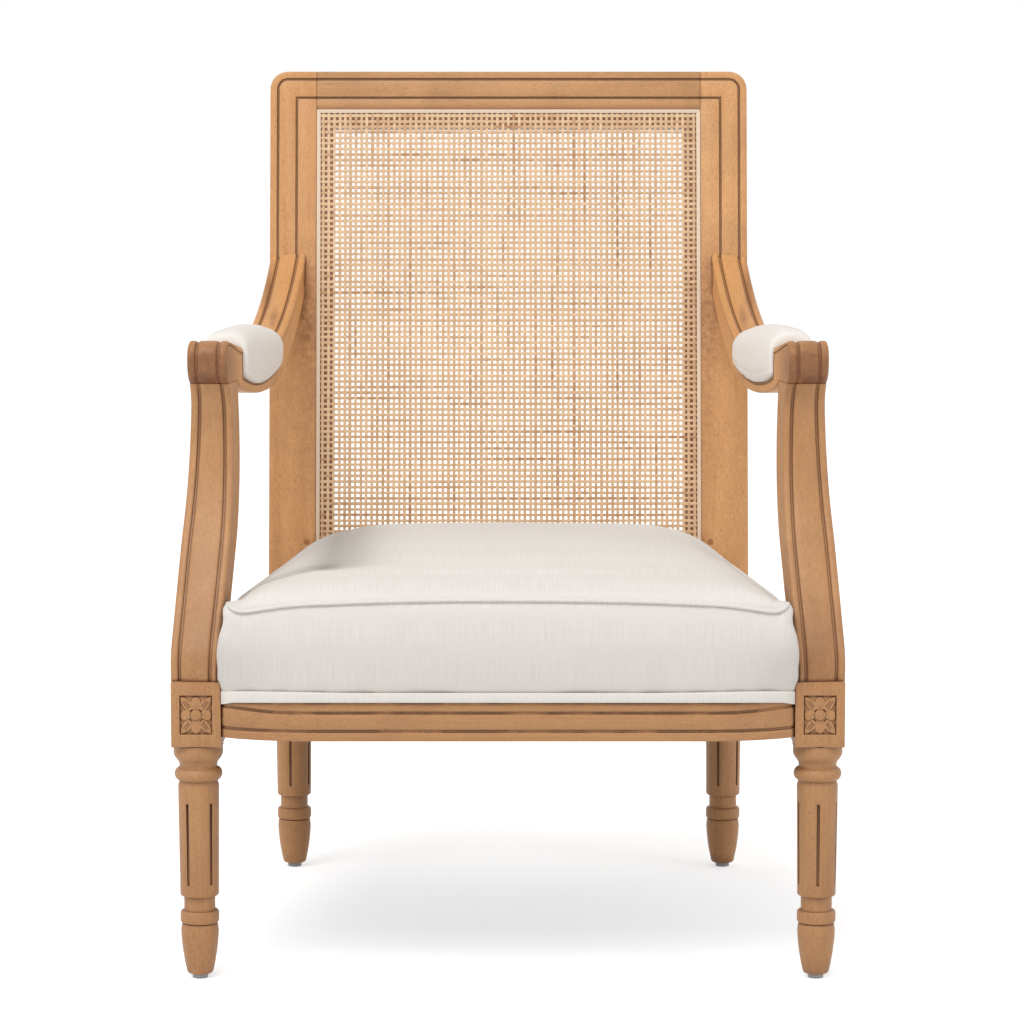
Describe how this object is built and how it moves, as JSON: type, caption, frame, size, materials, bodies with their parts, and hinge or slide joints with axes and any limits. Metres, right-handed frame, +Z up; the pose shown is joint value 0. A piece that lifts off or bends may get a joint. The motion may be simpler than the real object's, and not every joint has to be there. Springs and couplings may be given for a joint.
{
  "type": "open armchair",
  "caption": "Open armchair with a raked cane back, swept padded arms, a tight domed seat with piping, carved rosette blocks and turned, fluted legs.",
  "frame": {"origin": "on the floor, under the middle of the chair's bounding box", "axes": "+Z up, front of the chair towards -Y, +X to the right as the chair is seen from the front"},
  "size_m": [0.6886, 0.718, 0.9397],
  "materials": {
    "carved_wood": "honey tan stain with a darker glaze in the carving, satin",
    "corner_block_wood": "plain sawn wood",
    "dowel_wood": "plain turned wood",
    "peg_wood": "dark end grain",
    "cane": "natural rattan, woven",
    "spline_reed": "pale split reed",
    "upholstery_linen": "off-white woven linen look",
    "foam": "polyurethane foam",
    "webbing": "jute webbing",
    "deck_fabric": "plain woven deck cloth",
    "dust_fabric": "black spun cloth",
    "steel": "zinc plated",
    "glide_plastic": "moulded grey plastic"
  },
  "bodies": {
    "root": {"front_leg_left": "carved_wood", "front_leg_right": "carved_wood", "rear_leg_left": "carved_wood", "rear_leg_right": "carved_wood", "top_rail": "carved_wood", "lower_back_rail": "carved_wood", "front_seat_rail": "carved_wood", "side_seat_rail_left": "carved_wood", "side_seat_rail_right": "carved_wood", "rear_seat_rail": "carved_wood", "arm_support_left": "carved_wood", "arm_support_right": "carved_wood", "arm_left": "carved_wood", "arm_right": "carved_wood", "corner_block_front_left": "corner_block_wood", "corner_block_front_right": "corner_block_wood", "corner_block_rear_left": "corner_block_wood", "corner_block_rear_right": "corner_block_wood", "seat_rail_dowels": "dowel_wood", "top_rail_dowels": "dowel_wood", "arm_support_dowels": "dowel_wood", "stile_pegs": "peg_wood", "cane_panel": "cane", "cane_spline_left": "spline_reed", "cane_spline_right": "spline_reed", "cane_spline_top": "spline_reed", "cane_spline_bottom": "spline_reed", "seat_cover": "upholstery_linen", "seat_band": "upholstery_linen", "seat_piping": "upholstery_linen", "arm_pad_cover_left": "upholstery_linen", "arm_pad_cover_right": "upholstery_linen", "seat_foam": "foam", "arm_pad_foam_left": "foam", "arm_pad_foam_right": "foam", "webbing_lengthwise": "webbing", "webbing_crosswise": "webbing", "deck_cloth": "deck_fabric", "dust_cover": "dust_fabric", "webbing_staples": "steel", "dust_cover_staples": "steel", "arm_screws": "steel", "corner_block_screws": "steel", "glide_nails": "steel", "glide_front_left": "glide_plastic", "glide_front_right": "glide_plastic", "glide_rear_left": "glide_plastic", "glide_rear_right": "glide_plastic"}
  },
  "joints": []
}
